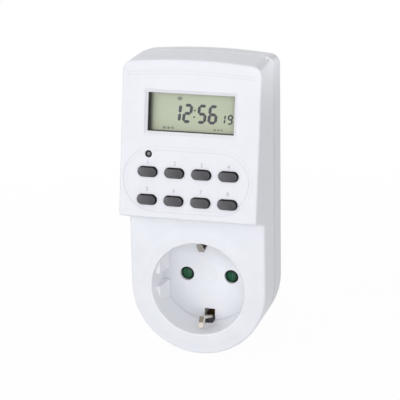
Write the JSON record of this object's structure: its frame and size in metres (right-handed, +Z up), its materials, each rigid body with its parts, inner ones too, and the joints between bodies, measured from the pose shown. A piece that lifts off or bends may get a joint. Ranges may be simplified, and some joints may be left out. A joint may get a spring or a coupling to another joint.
{
  "type": "plug-in timer switch",
  "caption": "Plug-in digital timer switch: leaning display and keypad over a shuttered earthed socket, plug with round pins on the back.",
  "frame": {"origin": "middle of the contact face of the plug base, where it seats on the floor of the wall socket, midway between the two pins", "axes": "+Z up, from socket to display; +Y into the wall, along the pins; +X to the right of someone who faces the timer"},
  "size_m": [0.0566, 0.0785, 0.1244],
  "materials": {
    "white_plastic": "smooth semi-gloss white ABS",
    "key_grey": "dark grey, satin",
    "black_plastic": "matte black",
    "clear_window": "clear acrylic sheet",
    "lcd_glass": "olive-green liquid crystal cell with dark digits",
    "green_plastic": "dark green, moulded",
    "natural_plastic": "uncoloured flame-retardant plastic",
    "nickel_plate": "nickel plate on brass",
    "brass": "bare brass",
    "spring_steel": "steel",
    "circuit_board": "green solder resist",
    "relay_blue": "blue moulded case",
    "copper_wire": "lacquered copper winding",
    "film_yellow": "yellow dipped case",
    "can_aluminium": "bright can",
    "disc_blue": "blue dipped disc",
    "resistor_body": "grey-blue lacquer",
    "chip_black": "black epoxy",
    "grey_rubber": "silicone rubber",
    "ribbon_grey": "grey ribbon"
  },
  "bodies": {
    "case": {"back_cover": "white_plastic", "backup_cell": "can_aluminium", "case_screws": "spring_steel", "cell_tabs": "nickel_plate", "control_board": "circuit_board", "control_board_screws": "spring_steel", "control_chip": "chip_black", "crystal": "can_aluminium", "display_frame": "black_plastic", "display_window": "clear_window", "earth_bridge": "brass", "film_capacitor": "film_yellow", "front_cover": "white_plastic", "fuse_resistor": "resistor_body", "keypad_mat": "grey_rubber", "lcd_glass": "lcd_glass", "live_feed_bar": "brass", "live_pin": "nickel_plate", "live_sleeve": "brass", "lower_earth_strip": "nickel_plate", "neutral_feed_bar": "brass", "neutral_pin": "nickel_plate", "neutral_sleeve": "brass", "pin_carrier": "natural_plastic", "plug_base": "white_plastic", "power_board": "circuit_board", "power_board_screws": "spring_steel", "rectifier_diodes": "chip_black", "relay_base": "black_plastic", "relay_case": "relay_blue", "relay_coil": "copper_wire", "relay_contacts": "brass", "relay_yoke": "spring_steel", "ribbon_cable": "ribbon_grey", "shutter_housing": "natural_plastic", "shutter_spring": "spring_steel", "smoothing_capacitor": "can_aluminium", "socket_floor": "white_plastic", "switched_bar": "brass", "upper_earth_strip": "nickel_plate", "varistor": "disc_blue", "zebra_strip": "grey_rubber"},
    "key_1": {"key_1": "key_grey"},
    "key_2": {"key_2": "key_grey"},
    "key_3": {"key_3": "key_grey"},
    "key_4": {"key_4": "key_grey"},
    "key_5": {"key_5": "key_grey"},
    "key_6": {"key_6": "key_grey"},
    "key_7": {"key_7": "key_grey"},
    "key_8": {"key_8": "key_grey"},
    "reset_button": {"reset_button": "key_grey"},
    "shutter": {"shutter": "green_plastic"},
    "relay_armature": {"relay_armature": "spring_steel"}
  },
  "joints": [
    {"name": "key_1_press", "type": "slide", "parent": "case", "child": "key_1", "axis": [0, 0.9833, -0.1822], "range_m": [0, 0.0008], "stiffness_N_per_m": 600, "springref_m": -0.0005},
    {"name": "key_2_press", "type": "slide", "parent": "case", "child": "key_2", "axis": [0, 0.9833, -0.1822], "range_m": [0, 0.0008], "stiffness_N_per_m": 600, "springref_m": -0.0005},
    {"name": "key_3_press", "type": "slide", "parent": "case", "child": "key_3", "axis": [0, 0.9833, -0.1822], "range_m": [0, 0.0008], "stiffness_N_per_m": 600, "springref_m": -0.0005},
    {"name": "key_4_press", "type": "slide", "parent": "case", "child": "key_4", "axis": [0, 0.9833, -0.1822], "range_m": [0, 0.0008], "stiffness_N_per_m": 600, "springref_m": -0.0005},
    {"name": "key_5_press", "type": "slide", "parent": "case", "child": "key_5", "axis": [0, 0.9833, -0.1822], "range_m": [0, 0.0008], "stiffness_N_per_m": 600, "springref_m": -0.0005},
    {"name": "key_6_press", "type": "slide", "parent": "case", "child": "key_6", "axis": [0, 0.9833, -0.1822], "range_m": [0, 0.0008], "stiffness_N_per_m": 600, "springref_m": -0.0005},
    {"name": "key_7_press", "type": "slide", "parent": "case", "child": "key_7", "axis": [0, 0.9833, -0.1822], "range_m": [0, 0.0008], "stiffness_N_per_m": 600, "springref_m": -0.0005},
    {"name": "key_8_press", "type": "slide", "parent": "case", "child": "key_8", "axis": [0, 0.9833, -0.1822], "range_m": [0, 0.0008], "stiffness_N_per_m": 600, "springref_m": -0.0005},
    {"name": "reset_press", "type": "slide", "parent": "case", "child": "reset_button", "axis": [0, 0.9833, -0.1822], "range_m": [0, 0.0008], "stiffness_N_per_m": 600, "springref_m": -0.0005},
    {"name": "shutter_slide", "type": "slide", "parent": "case", "child": "shutter", "axis": [1, 0, 0], "range_m": [0, 0.0063], "stiffness_N_per_m": 60, "springref_m": -0.003, "deforming": ["shutter_spring"]},
    {"name": "relay_armature_swing", "type": "hinge", "parent": "case", "child": "relay_armature", "pos_m": [0.0118, -0.0371, 0.047], "axis": [0, 0, -1], "range_deg": [0, 3.5], "stiffness_Nm_per_rad": 0.02, "springref_deg": -5.73}
  ]
}
